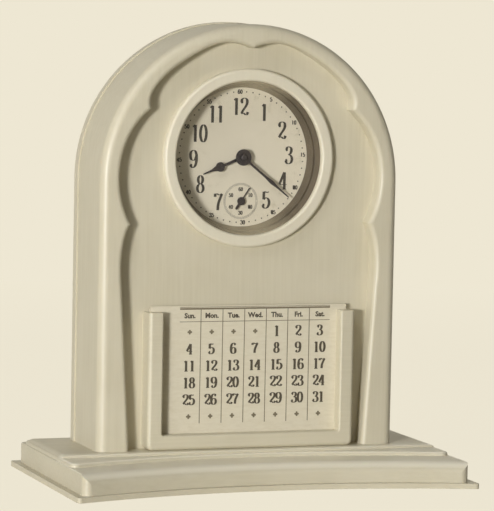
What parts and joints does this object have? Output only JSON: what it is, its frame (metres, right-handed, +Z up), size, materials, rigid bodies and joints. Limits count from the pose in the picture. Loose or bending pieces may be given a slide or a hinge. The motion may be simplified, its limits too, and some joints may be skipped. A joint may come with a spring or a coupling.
{
  "type": "desk clock with calendar",
  "caption": "Arched desk clock on a stepped base, with a round glazed dial, a seconds dial and an open-topped holder for calendar cards.",
  "frame": {"origin": "bottom centre of the base, on the table", "axes": "+Z up, -Y is the front that carries the dial and calendar, +X is to the right of a reader"},
  "size_m": [0.15, 0.0895, 0.1652],
  "materials": {
    "ivory": "satin ivory-coloured celluloid with faint parallel grain",
    "core_wood": "plain sawn softwood",
    "screw_steel": "turned wood screw steel",
    "nickel": "nickel plate, slightly worn",
    "card": "smooth cream card, printed in black",
    "dark_bezel": "oxidised dark metal bezel, satin",
    "glass": "clear domed glass",
    "dial_silver": "silvered cream dial with black figures",
    "blued_steel": "dark blued steel",
    "movement_brass": "lacquered brass",
    "movement_steel": "polished steel",
    "spring_steel": "blued spring steel"
  },
  "bodies": {
    "case": {"base_flange": "ivory", "base_body": "ivory", "base_core": "core_wood", "base_lower_step": "ivory", "base_upper_step": "ivory", "base_screws": "screw_steel", "case_screws": "screw_steel", "case_block": "core_wood", "case_band": "ivory", "rear_rim": "ivory", "front_frame": "ivory", "front_panel": "ivory", "back_panel": "ivory", "bezel_ring": "ivory", "calendar_holder": "ivory", "calendar_backing": "ivory", "movement_can": "nickel", "metal_bezel": "dark_bezel", "crystal": "glass", "dial": "dial_silver", "dial_feet": "movement_brass", "back_cover": "nickel", "clamp_ring": "nickel", "clamp_screws": "nickel", "front_plate": "movement_brass", "back_plate": "movement_brass", "plate_pillars": "movement_brass", "pillar_nuts": "movement_brass", "hairspring": "spring_steel", "hairspring_stud": "movement_steel", "mainspring": "spring_steel", "mainspring_post": "movement_steel", "minute_wheel_post": "movement_steel"},
    "minute": {"minute_hand": "blued_steel", "centre_cap": "blued_steel", "centre_arbor": "movement_steel", "centre_wheel": "movement_brass", "cannon_pinion": "movement_steel", "set_knob": "nickel"},
    "hour": {"hour_wheel": "movement_brass", "hour_hand": "blued_steel"},
    "motion": {"minute_wheel": "movement_brass"},
    "third": {"third_wheel": "movement_brass"},
    "seconds": {"fourth_wheel": "movement_brass", "seconds_hand": "blued_steel"},
    "escape": {"escape_wheel": "movement_brass"},
    "pallets": {"pallet_lever": "movement_steel"},
    "balance": {"balance_wheel": "movement_brass"},
    "regulator": {"regulator_lever": "movement_steel"},
    "great": {"great_wheel": "movement_brass", "click_spring": "movement_steel"},
    "winding": {"winding_arbor": "movement_steel", "ratchet_wheel": "movement_steel", "winding_key": "nickel"},
    "click": {"click": "movement_steel"},
    "card": {"calendar_card": "card"},
    "spares": {"spare_cards": "card"}
  },
  "joints": [
    {"name": "minute_hand_turn", "type": "hinge", "parent": "case", "child": "minute", "pos_m": [0.0002, 0.0185, 0.11635], "axis": [0, 1, 0], "continuous": true},
    {"name": "hour_hand_turn", "type": "hinge", "parent": "case", "child": "hour", "pos_m": [0.0002, 0.0185, 0.11635], "axis": [0, 1, 0], "continuous": true},
    {"name": "minute_wheel_turn", "type": "hinge", "parent": "case", "child": "motion", "pos_m": [-0.00604, 0.0185, 0.11995], "axis": [0, 1, 0], "continuous": true},
    {"name": "third_wheel_turn", "type": "hinge", "parent": "case", "child": "third", "pos_m": [0.00852, 0.0185, 0.10787], "axis": [0, 1, 0], "continuous": true},
    {"name": "seconds_hand_turn", "type": "hinge", "parent": "case", "child": "seconds", "pos_m": [0.0002, 0.0185, 0.10035], "axis": [0, 1, 0], "continuous": true},
    {"name": "escape_wheel_turn", "type": "hinge", "parent": "case", "child": "escape", "pos_m": [-0.00837, 0.0185, 0.1053], "axis": [0, 1, 0], "continuous": true},
    {"name": "great_wheel_turn", "type": "hinge", "parent": "case", "child": "great", "pos_m": [0.0093, 0.0185, 0.12545], "axis": [0, 1, 0], "continuous": true},
    {"name": "winding_key_turn", "type": "hinge", "parent": "great", "child": "winding", "pos_m": [0.0093, 0.0185, 0.12545], "axis": [0, 1, 0], "continuous": true},
    {"name": "click_lift", "type": "hinge", "parent": "great", "child": "click", "pos_m": [0.0093, 0.0185, 0.13135], "axis": [0, 1, 0], "range_deg": [-8, 0], "stiffness_Nm_per_rad": 0.00001},
    {"name": "pallet_lever_swing", "type": "hinge", "parent": "case", "child": "pallets", "pos_m": [-0.01025, 0.0185, 0.11142], "axis": [0, 1, 0], "range_deg": [-3, 3]},
    {"name": "balance_swing", "type": "hinge", "parent": "case", "child": "balance", "pos_m": [-0.01331, 0.0185, 0.12135], "axis": [0, 1, 0], "range_deg": [-135, 135], "stiffness_Nm_per_rad": 0.000008},
    {"name": "regulator_turn", "type": "hinge", "parent": "case", "child": "regulator", "pos_m": [-0.01331, 0.0185, 0.12135], "axis": [0, 1, 0], "range_deg": [-18, 18]},
    {"name": "card_lift", "type": "slide", "parent": "case", "child": "card", "axis": [0, 0, 1], "range_m": [0, 0.02]},
    {"name": "spare_cards_lift", "type": "slide", "parent": "case", "child": "spares", "axis": [0, 0, 1], "range_m": [0, 0.02]}
  ],
  "couplings": [
    {"joint": "hour_hand_turn", "follows": "minute_hand_turn", "ratio": 0.083333},
    {"joint": "minute_wheel_turn", "follows": "minute_hand_turn", "ratio": -0.33333},
    {"joint": "third_wheel_turn", "follows": "minute_hand_turn", "ratio": -8},
    {"joint": "seconds_hand_turn", "follows": "minute_hand_turn", "ratio": 60},
    {"joint": "escape_wheel_turn", "follows": "minute_hand_turn", "ratio": -600},
    {"joint": "great_wheel_turn", "follows": "minute_hand_turn", "ratio": -0.18182}
  ]
}
